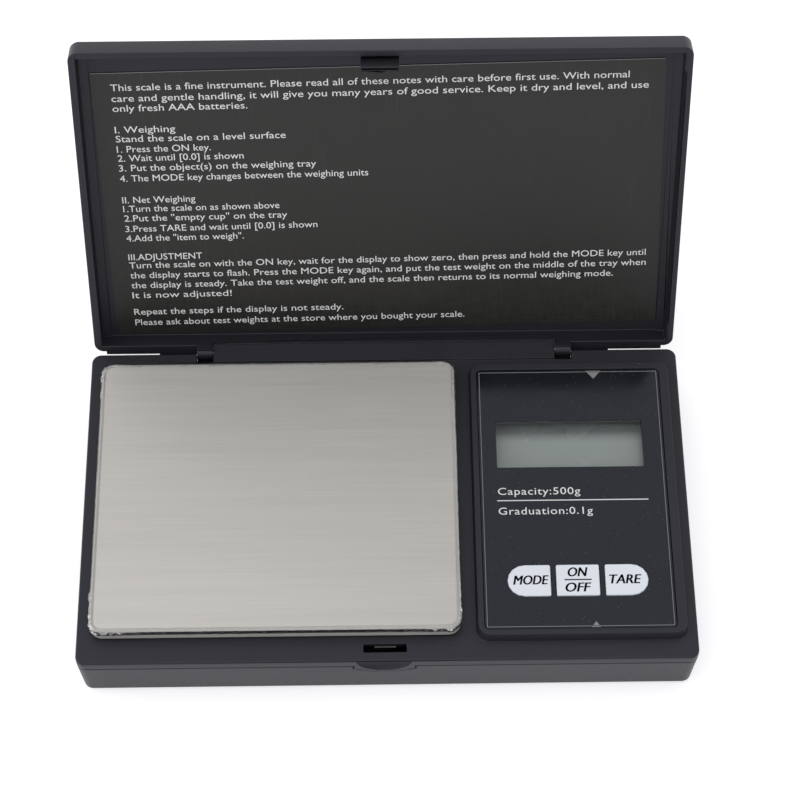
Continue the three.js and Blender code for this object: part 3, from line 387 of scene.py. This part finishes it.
def clear_sheet(name, gloss, haze, roughness):
    """A clear plastic: see-through, with a mirror that grows at grazing angles and a little haze."""
    finish = Finish(name, (0.9, 0.9, 0.9), roughness, {"Metallic": 1.0})
    ripples = finish.noise(1.1, 3.0)
    uneven = finish.spread(ripples, 0.3, 0.7, roughness * 0.7, roughness * 1.3)
    finish.set(finish.shader, {"Roughness": uneven})
    clear = finish.add("ShaderNodeBsdfTransparent", {"Color": (0.99, 0.99, 0.99, 1)})
    edge = finish.add("ShaderNodeFresnel", {"IOR": 1.45}).outputs["Fac"]
    share = finish.math("ADD", finish.math("MULTIPLY", edge, gloss), haze)
    mix = finish.add("ShaderNodeMixShader", {0: share, 1: clear.outputs[0], 2: finish.shader.outputs[0]})
    output = finish.tree.nodes["Material Output"]
    finish.set(output, {"Surface": mix.outputs[0]})
    return finish.material


def ink(name, colour, roughness=0.5):
    """Printed ink, a little uneven where it is thin. The grey one also paints highlight lines."""
    finish = Finish(name, colour, roughness)
    thin = finish.noise(0.4, 2.0)
    paint = finish.blend(thin, [c * 0.88 for c in colour], [min(1, c * 1.06) for c in colour])
    finish.set(finish.shader, {"Base Color": paint})
    return finish.material


FINISHES = {
    "case": moulded("case", (0.0125, 0.0125, 0.0165), 0.42, grain=0.3, depth=0.008, dust=0.08,
                    extra={"Specular IOR Level": 0.32, "Specular Tint": (0.86, 0.88, 1.0, 1.0)}),
    "panel": glossy_panel(),
    "window": clear_sheet("window", 0.2, 0.0, 0.04),
    "lcd": lcd_surface(),
    "key": moulded("key", (0.57, 0.60, 0.66), 0.36, grain=0.4, depth=0.003, shift=0.025),
    "label": printed_label(),
    "stainless": brushed_plate(),
    "steel": worked_metal("steel", (0.45, 0.45, 0.46), 0.35),
    "aluminium": worked_metal("aluminium", (0.72, 0.73, 0.74), 0.4, (0.1, 1, 1), 0.25, 0.06),
    "nickel": worked_metal("nickel", (0.60, 0.58, 0.55), 0.26),
    "board": moulded("board", (0.02, 0.16, 0.06), 0.35, grain=0.6, depth=0.02, shift=0.25),
    "chip": moulded("chip", (0.015, 0.015, 0.016), 0.4),
    "milky": moulded("milky", (0.80, 0.80, 0.76), 0.5,
                     extra={"Subsurface Weight": 0.2, "Subsurface Scale": 0.001}),
    "rubber": moulded("rubber", (0.02, 0.02, 0.02), 0.82, grain=0.18, depth=0.03),
    "cell": moulded("cell", (0.05, 0.22, 0.12), 0.3, grain=0.5, depth=0.004),
    "grey_wire": moulded("grey_wire", (0.3, 0.3, 0.3), 0.45),
    "red_wire": moulded("red_wire", (0.5, 0.02, 0.02), 0.45),
    "black_wire": moulded("black_wire", (0.02, 0.02, 0.02), 0.45),
}
FILM = clear_sheet("film", 1.0, 0.03, 0.12)
WHITE_INK = ink("white_ink", (0.60, 0.60, 0.61))
# The grey is the display marks' print, and it also paints highlights: the label's front edge, the panel's edge and
# the latch slot's edge.
GREY_INK_AND_HIGHLIGHT = ink("grey_ink_and_highlight", (0.17, 0.17, 0.18))
DARK_INK = ink("dark_ink", (0.010, 0.011, 0.014), 0.4)


# ---------------------------------------------------------------- CAD nodes
# Edge roundings of the CAD nodes that show, in mm. The rest keep their moulded or turned edges.
EDGES = {
    "bottom_housing": 0.3,
    "top_cover": 0.14,
    "lid_shell": 0.18,
    "lcd_window": 0.05,
    "battery_door": 0.12,
    "platform_carrier": 0.2,
    "load_cell": 0.15,
    "mode_key": 0.1,
    "power_key": 0.1,
    "tare_key": 0.1,
}
SCREW_EDGE = 0.06
SHARP_ANGLE = math.radians(32)
FLAT_ANGLE = math.radians(0.3)


def edge_width(name):
    if name in EDGES:
        return EDGES[name]
    if "screw" in name or "foot" in name:
        return SCREW_EDGE
    return 0


def smooth_edges(node, width):
    """Rounds a CAD node's sharp edges with modifiers, or only splits them where the width is 0."""
    mesh = node.data
    if "custom_normal" in mesh.attributes:
        mesh.attributes.remove(mesh.attributes["custom_normal"])
    mesh.polygons.foreach_set("use_smooth", [True] * len(mesh.polygons))
    weld = node.modifiers.new("weld", "WELD")
    weld.merge_threshold = 0.001 * MM
    if width:
        bevel = node.modifiers.new("edges", "BEVEL")
        bevel.width = width * MM
        bevel.segments = 2
        bevel.limit_method = "ANGLE"
        bevel.angle_limit = SHARP_ANGLE
        bevel.use_clamp_overlap = False
        flat = node.modifiers.new("flat", "DECIMATE")
        flat.decimate_type = "DISSOLVE"
        flat.angle_limit = FLAT_ANGLE
        node.modifiers.new("normals", "WEIGHTED_NORMAL")
    else:
        split = node.modifiers.new("split", "EDGE_SPLIT")
        split.split_angle = SHARP_ANGLE


for part in frame["record"]["subparts"]:
    node = frame["nodes"][part["node"]]
    node.data.materials.clear()
    node.data.materials.append(FINISHES[part["material_slot"]])
    smooth_edges(node, edge_width(part["node"]))


# ---------------------------------------------------------------- pieces
def new_piece(name, mesh, material, body):
    piece = bpy.data.objects.new(name, mesh)
    bpy.context.scene.collection.objects.link(piece)
    mesh.materials.append(material)
    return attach(piece, body)


def mesh_from(bm, name, smooth=True):
    bmesh.ops.remove_doubles(bm, verts=bm.verts, dist=1e-7)
    bmesh.ops.recalc_face_normals(bm, faces=bm.faces)
    mesh = bpy.data.meshes.new(name)
    bm.to_mesh(mesh)
    bm.free()
    mesh.polygons.foreach_set("use_smooth", [smooth] * len(mesh.polygons))
    return mesh


def letters(words, slant=0.0, spacing=1.0):
    """The words as a solid mesh, one em high and one unit thick, standing on its baseline."""
    curve = bpy.data.curves.new("letters", "FONT")
    curve.body = words
    curve.size = 1
    curve.shear = slant
    curve.space_character = spacing
    curve.resolution_u = 3
    curve.extrude = 0.5
    text = bpy.data.objects.new("letters", curve)
    bpy.context.scene.collection.objects.link(text)
    bpy.context.view_layer.update()
    made = bpy.data.meshes.new_from_object(text.evaluated_get(bpy.context.evaluated_depsgraph_get()))
    bpy.data.objects.remove(text)
    bpy.data.curves.remove(curve)
    return made


def width_of(mesh):
    xs = [v.co.x for v in mesh.vertices]
    return min(xs), max(xs)


CAP_SHARE = max(v.co.y for v in letters("H").vertices)


def add_words(bm, place, words, x, y, cap, width, anchor="left", bold=(0,), **style):
    """Adds a line of print to bm. x and y are in mm in the plane of place, cap is the capitals' height.

    Bold print is the same words laid down again, each time shifted sideways by one of the bold distances.
    """
    for shift in bold:
        add_word_layer(bm, place, letters(words, **style), x + shift, y, cap, width, anchor)


def add_word_layer(bm, place, mesh, x, y, cap, width, anchor):
    scale = cap / CAP_SHARE
    low, high = width_of(mesh)
    across = width / (high - low)
    start = {"left": low, "middle": (low + high) / 2}[anchor]
    matrix = place @ Matrix.Translation((x * MM, y * MM, (INK_LIFT + INK / 2) * MM))
    matrix = matrix @ Matrix.Diagonal((across * MM, scale * MM, INK * MM, 1))
    mesh.transform(matrix @ Matrix.Translation((-start, 0, 0)))
    bm.from_mesh(mesh)
    bpy.data.meshes.remove(mesh)


def add_plate(bm, place, corners):
    """Adds a flat patch of print or painted highlight with the given corners, in mm in the plane of place."""
    low = [bm.verts.new(place @ Vector((x * MM, y * MM, INK_LIFT * MM))) for x, y in corners]
    high = [bm.verts.new(place @ Vector((x * MM, y * MM, (INK_LIFT + INK) * MM))) for x, y in corners]
    bm.faces.new(low)
    bm.faces.new(high)
    count = len(corners)
    for i in range(count):
        j = (i + 1) % count
        bm.faces.new((low[i], low[j], high[j], high[i]))


def add_frame(bm, place, left, right, low, high, width):
    """Adds a rectangular line, laid down like print, of the given width, inside the rectangle, in mm; it paints
    the highlight round the panel.
    """
    corners = [(left, low), (right, low), (right, high), (left, high)]
    rings = []
    for inset in (0, width):
        for z in (INK_LIFT, INK_LIFT + INK):
            ring = []
            for x, y in corners:
                x += inset if x == left else -inset
                y += inset if y == low else -inset
                ring.append(bm.verts.new(place @ Vector((x * MM, y * MM, z * MM))))
            rings.append(ring)
    outer_low, outer_high, inner_low, inner_high = rings
    loop = [outer_low, outer_high, inner_high, inner_low]
    for k in range(4):
        a, b = loop[k], loop[(k + 1) % 4]
        for i in range(4):
            j = (i + 1) % 4
            bm.faces.new((a[i], a[j], b[j], b[i]))


def print_or_highlight_piece(name, bm, material, body):
    return new_piece(name, mesh_from(bm, name, smooth=False), material, body)


# The lid's frame: it takes places in the closed lid to where they are in the open lid, at rest.
hinge = next(joint for joint in frame["joints"] if joint["child"] == "lid")
hinge_place = Vector(hinge["pos_m"])
open_turn = Matrix.Rotation(-math.radians(hinge["range_deg"][1]), 4, Vector(hinge["axis"]))
lid_place = Matrix.Translation(hinge_place) @ open_turn @ Matrix.Translation(-hinge_place)


def closed_box(node):
    """The lowest and highest corners of a lid node when the lid is closed."""
    back = lid_place.inverted()
    points = [back @ v.co for v in frame["nodes"][node].data.vertices]
    return Vector(map(min, *points)), Vector(map(max, *points))


# ---------------------------------------------------------------- label print
label_low, label_high = closed_box("lid_label")
label_middle = (label_low + label_high) / 2
# The print is read from below the closed lid: its up is the closed lid's front.
label_plane = Matrix((
    (1, 0, 0, label_middle.x),
    (0, -1, 0, label_middle.y),
    (0, 0, -1, label_low.z),
    (0, 0, 0, 1),
))
label_corner = Matrix.Translation((-LABEL_SIZE[0] / 2 * MM, LABEL_SIZE[1] / 2 * MM, 0))
label_plane = lid_place @ label_plane @ Matrix.Rotation(math.radians(LABEL_TURN), 4, "Z") @ label_corner
for block_name, lines in LABEL_BLOCKS.items():
    block = bmesh.new()
    for middle, width, words in lines:
        add_words(block, label_plane, words, LABEL_LEFT, -middle - LABEL_CAP / 2, LABEL_CAP, width=width)
    print_or_highlight_piece("label_print_" + block_name, block, WHITE_INK, "lid")

# Painted highlight: a thin light grey strip along the label's front edge stands in for the highlight on that edge.
label_edge_highlight = bmesh.new()
highlight_left = LABEL_HIGHLIGHT_INSET
highlight_right = LABEL_SIZE[0] - LABEL_HIGHLIGHT_INSET
highlight_high = -LABEL_HIGHLIGHT_GAP
highlight_low = highlight_high - LABEL_HIGHLIGHT_WIDTH
add_plate(label_edge_highlight, label_plane, [
    (highlight_left, highlight_low),
    (highlight_left, highlight_high),
    (highlight_right, highlight_high),
    (highlight_right, highlight_low),
])
print_or_highlight_piece("label_edge_highlight", label_edge_highlight, GREY_INK_AND_HIGHLIGHT, "lid")


# ---------------------------------------------------------------- display print
panel_low, panel_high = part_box("display_panel")
window_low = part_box("lcd_window")[0]
panel_plane = Matrix.Translation((window_low.x, window_low.y, panel_high.z))

display_print = bmesh.new()
for words, baseline, width in DISPLAY_LINES:
    style = {"width": width, "spacing": DISPLAY_SPACING}
    add_words(display_print, panel_plane, words, DISPLAY_LEFT, baseline, DISPLAY_CAP, **style)
rule_left, rule_right, rule_low, rule_high = DISPLAY_RULE
add_plate(display_print, panel_plane, [
    (rule_left, rule_low),
    (rule_right, rule_low),
    (rule_right, rule_high),
    (rule_left, rule_high),
])
print_or_highlight_piece("display_print", display_print, WHITE_INK, "base")

marks = bmesh.new()
rear_y = (panel_high.y - window_low.y) / MM
front_y = (panel_low.y - window_low.y) / MM
for (left, right, tip, length), foot, way in ((REAR_MARK, rear_y, -1), (FRONT_MARK, front_y, 1)):
    flat = foot + way * MARK_GAP
    add_plate(marks, panel_plane, [(left, flat), (right, flat), (tip, flat + way * length)])
print_or_highlight_piece("display_marks", marks, GREY_INK_AND_HIGHLIGHT, "base")


# Painted highlight: a light grey line round the panel, just inside its edge, where the panel's edge catches the
# light.
panel_highlight = bmesh.new()
add_frame(
    panel_highlight,
    panel_plane,
    (panel_low.x - window_low.x) / MM + PANEL_HIGHLIGHT_INSET,
    (panel_high.x - window_low.x) / MM - PANEL_HIGHLIGHT_INSET,
    front_y + PANEL_HIGHLIGHT_INSET,
    rear_y - PANEL_HIGHLIGHT_INSET,
    PANEL_HIGHLIGHT_WIDTH,
)
print_or_highlight_piece("panel_highlight", panel_highlight, GREY_INK_AND_HIGHLIGHT, "base")


# ---------------------------------------------------------------- painted highlight in the latch slot
def latch_slot_highlight():
    """Painted highlight: a light grey strip for the lit lower edge of the catch, deep in the latch slot in front
    of the tray.
    """
    bm = bmesh.new()
    bmesh.ops.create_cube(bm, size=1)
    middle = Vector((SLOT_HIGHLIGHT_X * MM, cad_front + SLOT_HIGHLIGHT_Y * MM, cad_low.z + SLOT_HIGHLIGHT_Z * MM))
    size = Matrix.Diagonal((SLOT_HIGHLIGHT_SIZE[0] * MM, SLOT_HIGHLIGHT_SIZE[1] * MM, SLOT_HIGHLIGHT_SIZE[2] * MM, 1))
    bmesh.ops.transform(bm, verts=bm.verts, matrix=Matrix.Translation(middle) @ size)
    return mesh_from(bm, "latch_slot_highlight", smooth=False)


cad_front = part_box("bottom_housing")[0].y
# Painted highlight: the light grey strip in the latch slot.
new_piece("latch_slot_highlight", latch_slot_highlight(), GREY_INK_AND_HIGHLIGHT, "base")


# ---------------------------------------------------------------- film on the tray
def tray_outline(low, high, radius, step):
    """Places and outward directions round the tray's outline, in metres, anticlockwise."""
    middles = [
        (high.x - radius, high.y - radius, 0),
        (low.x + radius, high.y - radius, 90),
        (low.x + radius, low.y + radius, 180),
        (high.x - radius, low.y + radius, 270),
    ]
    corners = []
    for x, y, start in middles:
        turns = max(6, int(radius * math.pi / 2 / step))
        arc = []
        for i in range(turns + 1):
            angle = math.radians(start + 90 * i / turns)
            out = Vector((math.cos(angle), math.sin(angle), 0))
            arc.append((Vector((x, y, 0)) + out * radius, out))
        corners.append(arc)
    outline = []
    for i, arc in enumerate(corners):
        outline += arc
        here, out = arc[-1]
        there = corners[(i + 1) % 4][0][0]
        count = int((there - here).length / step)
        for k in range(1, count):
            outline.append((here.lerp(there, k / count), out))
    return outline


def tray_film():
    """The thin clear film folded over the tray's edge. It is crinkled most at the corners."""
    low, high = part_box("platform_tray")
    corners = [Vector((x, y, 0)) for x in (low.x, high.x) for y in (low.y, high.y)]
    fold = Vector((low.x, low.y + FOLD_UP * MM, 0))
    bm = bmesh.new()
    rings = []
    for place, out in tray_outline(low, high, FILM_CORNER * MM, FILM_STEP * MM):
        near = min((place - corner).length for corner in corners) / MM
        loose = FILM_CALM + (1 - FILM_CALM) * math.exp(-((near / FILM_REACH) ** 2))
        bulge = math.exp(-(((place - fold).length / MM / FOLD_WIDTH) ** 2))
        ring = []
        for layer in (0, FILM_SHEET):
            profile = FILM_PROFILE if layer == 0 else FILM_PROFILE[::-1]
            for offset, height, freedom in profile:
                spot = place / MM * FILM_WAVES + Vector((0, 0, height * FILM_WAVES_DOWN))
                small = abs(noise.noise(spot * FILM_RIPPLES))
                wave = abs(noise.noise(spot)) + FILM_RIPPLE_SHARE * small
                lift = freedom * (FILM_LIFT * loose * wave + FOLD_LIFT * bulge) + layer
                rise = lift * FILM_RISE if offset < 0 else 0
                side = lift if offset >= 0 else 0
                ring.append(bm.verts.new((
                    place.x + out.x * (offset + side) * MM,
                    place.y + out.y * (offset + side) * MM,
                    high.z + (height + rise + (layer if offset < 0 else 0)) * MM,
                )))
        rings.append(ring)
    size = len(rings[0])
    for i, ring in enumerate(rings):
        after = rings[(i + 1) % len(rings)]
        for k in range(size):
            m = (k + 1) % size
            bm.faces.new((ring[k], after[k], after[m], ring[m]))
    return mesh_from(bm, "tray_film", smooth=False)


new_piece("tray_film", tray_film(), FILM, "platform")


# ---------------------------------------------------------------- key print
def key_plane(name):
    low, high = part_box(name)
    return Matrix.Translation(((low.x + high.x) / 2, (low.y + high.y) / 2, high.z))


for key, lines in KEY_WORDS.items():
    key_print = bmesh.new()
    plane = key_plane(key + "_key")
    for words, x, baseline, width in lines:
        add_words(key_print, plane, words, x, baseline, KEY_CAP, width=width, **KEY_STYLE)
    if key == "power":
        across, up = KEY_BAR
        add_plate(key_print, plane, [(-across, -up), (across, -up), (across, up), (-across, up)])
    print_or_highlight_piece(key + "_key_print", key_print, DARK_INK, key + "_button")


# ---------------------------------------------------------------- floor, light and camera
def stage_floor():
    bm = bmesh.new()
    bmesh.ops.create_grid(bm, x_segments=8, y_segments=8, size=3.0)
    mesh = mesh_from(bm, "floor")
    floor = bpy.data.objects.new("floor", mesh)
    bpy.context.scene.collection.objects.link(floor)
    floor.location.z = cad_low.z
    glow = {"Emission Color": (0.96, 0.95, 1.0, 1.0), "Emission Strength": 0.5}
    finish = Finish("floor", (0.60, 0.60, 0.60), 0.9, glow)
    paper = finish.noise(30.0, 2.0)
    finish.set(finish.shader, {"Base Color": finish.blend(paper, (0.59, 0.59, 0.59), (0.61, 0.61, 0.61))})
    mesh.materials.append(finish.material)


def add_light(name, place, aim, size, power):
    data = bpy.data.lights.new(name, "AREA")
    data.shape = "RECTANGLE"
    data.size, data.size_y = size
    data.energy = power
    light = bpy.data.objects.new(name, data)
    bpy.context.scene.collection.objects.link(light)
    light.location = place
    light.rotation_euler = (Vector(aim) - Vector(place)).to_track_quat("-Z", "Y").to_euler()


def studio():
    world = bpy.data.worlds.new("studio")
    world.use_nodes = True
    world.node_tree.nodes["Background"].inputs["Color"].default_value = (1.0, 1.0, 1.0, 1)
    world.node_tree.nodes["Background"].inputs["Strength"].default_value = 1.0
    bpy.context.scene.world = world
    for name, (place, size, power) in LIGHTS.items():
        add_light(name, place, LIGHT_AIM, size, power)


def make_camera():
    data = bpy.data.cameras.new("camera")
    data.lens = CAMERA_LENS
    data.sensor_width = 36
    data.clip_start = 0.01
    data.clip_end = 20
    camera = bpy.data.objects.new("camera", data)
    bpy.context.scene.collection.objects.link(camera)
    azimuth = math.radians(CAMERA_AZIMUTH)
    elevation = math.radians(CAMERA_ELEVATION)
    back = Vector((
        math.sin(azimuth) * math.cos(elevation),
        -math.cos(azimuth) * math.cos(elevation),
        math.sin(elevation),
    ))
    aim = (cad_low + cad_high) / 2 + Vector(CAMERA_AIM) * MM
    turn = (-back).to_track_quat("-Z", "Y").to_matrix().to_4x4()
    roll = Matrix.Rotation(math.radians(CAMERA_ROLL), 4, "Z")
    camera.matrix_world = Matrix.Translation(aim + back * CAMERA_DISTANCE * MM) @ turn @ roll
    bpy.context.scene.camera = camera


stage_floor()
studio()
make_camera()
bpy.context.scene.view_settings.view_transform = "Standard"
